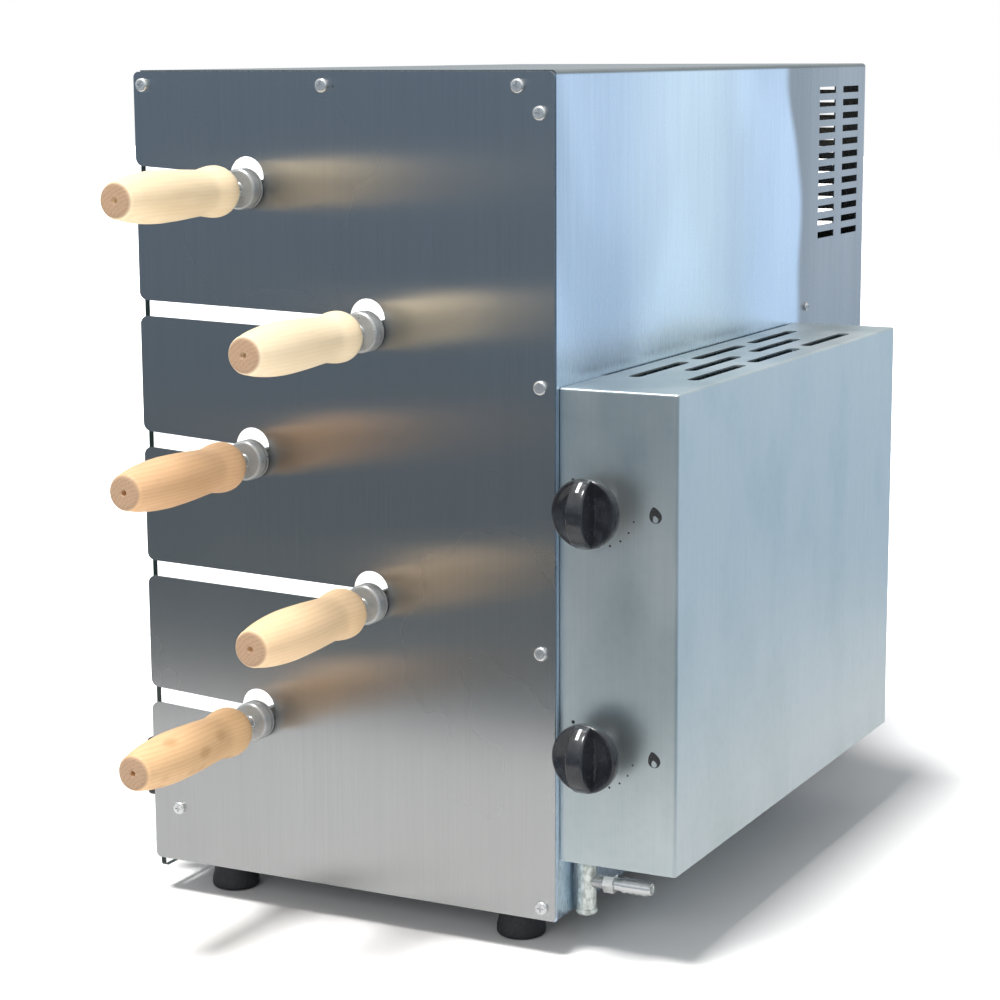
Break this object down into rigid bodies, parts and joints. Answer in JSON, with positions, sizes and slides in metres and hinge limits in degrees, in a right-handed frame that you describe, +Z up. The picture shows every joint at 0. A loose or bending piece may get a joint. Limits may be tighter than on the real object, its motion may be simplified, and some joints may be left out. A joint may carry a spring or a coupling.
{
  "type": "vertical rotisserie grill",
  "caption": "Table-top gas rotisserie grill: upright steel casing with stacked turning skewers, wooden grips, a glass side door and a side control box.",
  "frame": {"origin": "centre of the overall box at the foot of the rubber feet, on the worktop", "axes": "+Z up, -Y the front with the skewer grips and knobs, +X the side with the control box"},
  "size_m": [0.429, 0.762, 0.585],
  "materials": {
    "brushed_stainless": "brushed stainless sheet",
    "inner_stainless": "stainless sheet, heat stained",
    "screw_steel": "bright zinc-plated screws",
    "rubber": "moulded black rubber",
    "clear_glass": "clear tempered glass with dark edges",
    "black_plastic": "black phenolic, glossy",
    "bronze": "sintered bronze",
    "machined_steel": "turned and milled steel, oiled",
    "motor_paint": "dark grey painted casting",
    "brass": "machined brass",
    "aluminium_tube": "soft aluminium tube",
    "galvanised_pipe": "galvanised, speckled",
    "bright_chrome": "bright plated",
    "burner_steel": "heat-discoloured aluminised steel",
    "ceramic": "drilled ceramic plaque, matt",
    "skewer_steel": "turned steel, satin",
    "handle_wood": "turned hardwood, unvarnished"
  },
  "bodies": {
    "casing": {"casing_wrap": "brushed_stainless", "front_panel": "brushed_stainless", "rear_panel": "brushed_stainless", "gear_cover": "brushed_stainless", "control_box": "brushed_stainless", "box_cover": "brushed_stainless", "hinge_brackets": "brushed_stainless", "bulkhead": "inner_stainless", "motor_bracket": "inner_stainless", "panel_screws": "screw_steel", "cover_screws": "screw_steel", "foot_screws": "screw_steel", "motor_screws": "screw_steel", "rubber_feet": "rubber", "power_switch": "black_plastic", "cord_gland": "black_plastic", "socket_bushings": "bronze", "gearmotor": "motor_paint", "gas_injectors": "brass", "gas_valve_lower": "brass", "gas_valve_upper": "brass", "gas_tubes": "aluminium_tube", "gas_manifold": "galvanised_pipe", "manifold_plug": "galvanised_pipe", "hose_barb": "bright_chrome", "burner_lower": "burner_steel", "burner_upper": "burner_steel", "burner_tiles_lower": "ceramic", "burner_tiles_upper": "ceramic"},
    "door": {"door_glass": "clear_glass", "door_handle": "black_plastic", "door_screws": "screw_steel", "hinge_clamps": "brushed_stainless"},
    "tray": {"drip_tray": "brushed_stainless"},
    "socket_1": {"drive_socket_1": "machined_steel", "drive_gear_1": "machined_steel"},
    "skewer_1": {"skewer_bar_1": "skewer_steel", "skewer_handle_1": "handle_wood"},
    "socket_2": {"drive_socket_2": "machined_steel", "drive_gear_2": "machined_steel"},
    "skewer_2": {"skewer_bar_2": "skewer_steel", "skewer_handle_2": "handle_wood"},
    "socket_3": {"drive_socket_3": "machined_steel", "drive_gear_3": "machined_steel"},
    "skewer_3": {"skewer_bar_3": "skewer_steel", "skewer_handle_3": "handle_wood"},
    "socket_4": {"drive_socket_4": "machined_steel", "drive_gear_4": "machined_steel"},
    "skewer_4": {"skewer_bar_4": "skewer_steel", "skewer_handle_4": "handle_wood"},
    "socket_5": {"drive_socket_5": "machined_steel", "drive_gear_5": "machined_steel"},
    "skewer_5": {"skewer_bar_5": "skewer_steel", "skewer_handle_5": "handle_wood"},
    "pinion": {"motor_pinion": "machined_steel"},
    "control_lower": {"valve_stem_lower": "machined_steel", "knob_lower": "black_plastic"},
    "control_upper": {"valve_stem_upper": "machined_steel", "knob_upper": "black_plastic"},
    "rocker": {"switch_rocker": "black_plastic"}
  },
  "joints": [
    {"name": "spin_1", "type": "hinge", "parent": "casing", "child": "socket_1", "pos_m": [-0.099, 0.221, 0.5065], "axis": [0, 1, 0], "continuous": true},
    {"name": "withdraw_1", "type": "slide", "parent": "socket_1", "child": "skewer_1", "axis": [0, -1, 0], "range_m": [0, 0.03]},
    {"name": "spin_2", "type": "hinge", "parent": "casing", "child": "socket_2", "pos_m": [-0.00715, 0.221, 0.4145], "axis": [0, 1, 0], "continuous": true},
    {"name": "withdraw_2", "type": "slide", "parent": "socket_2", "child": "skewer_2", "axis": [0, -1, 0], "range_m": [0, 0.03]},
    {"name": "spin_3", "type": "hinge", "parent": "casing", "child": "socket_3", "pos_m": [-0.099, 0.221, 0.3225], "axis": [0, 1, 0], "continuous": true},
    {"name": "withdraw_3", "type": "slide", "parent": "socket_3", "child": "skewer_3", "axis": [0, -1, 0], "range_m": [0, 0.03]},
    {"name": "spin_4", "type": "hinge", "parent": "casing", "child": "socket_4", "pos_m": [-0.00715, 0.221, 0.2305], "axis": [0, 1, 0], "continuous": true},
    {"name": "withdraw_4", "type": "slide", "parent": "socket_4", "child": "skewer_4", "axis": [0, -1, 0], "range_m": [0, 0.03]},
    {"name": "spin_5", "type": "hinge", "parent": "casing", "child": "socket_5", "pos_m": [-0.099, 0.221, 0.1385], "axis": [0, 1, 0], "continuous": true},
    {"name": "withdraw_5", "type": "slide", "parent": "socket_5", "child": "skewer_5", "axis": [0, -1, 0], "range_m": [0, 0.03]},
    {"name": "pinion_spin", "type": "hinge", "parent": "casing", "child": "pinion", "pos_m": [0.05605, 0.241, 0.46753], "axis": [0, 1, 0], "continuous": true},
    {"name": "door_swing", "type": "hinge", "parent": "casing", "child": "door", "pos_m": [-0.1965, 0.217, 0.305], "axis": [0, 0, 1], "range_deg": [-110, 0]},
    {"name": "tray_lift", "type": "slide", "parent": "casing", "child": "tray", "axis": [0, 0, 1], "range_m": [0, 0.02]},
    {"name": "knob_turn_lower", "type": "hinge", "parent": "casing", "child": "control_lower", "pos_m": [0.1597, -0.239, 0.146], "axis": [0, -1, 0], "range_deg": [0, 254]},
    {"name": "knob_turn_upper", "type": "hinge", "parent": "casing", "child": "control_upper", "pos_m": [0.1597, -0.239, 0.307], "axis": [0, -1, 0], "range_deg": [0, 254]},
    {"name": "switch_toggle", "type": "hinge", "parent": "casing", "child": "rocker", "pos_m": [-0.1285, 0.367, 0.145], "axis": [1, 0, 0], "range_deg": [-18, 0]}
  ],
  "couplings": [
    {"joint": "spin_1", "follows": "spin_2", "ratio": -1},
    {"joint": "spin_3", "follows": "spin_2", "ratio": -1},
    {"joint": "spin_4", "follows": "spin_2", "ratio": 1},
    {"joint": "spin_5", "follows": "spin_2", "ratio": -1},
    {"joint": "pinion_spin", "follows": "spin_2", "ratio": -3.7143}
  ]
}
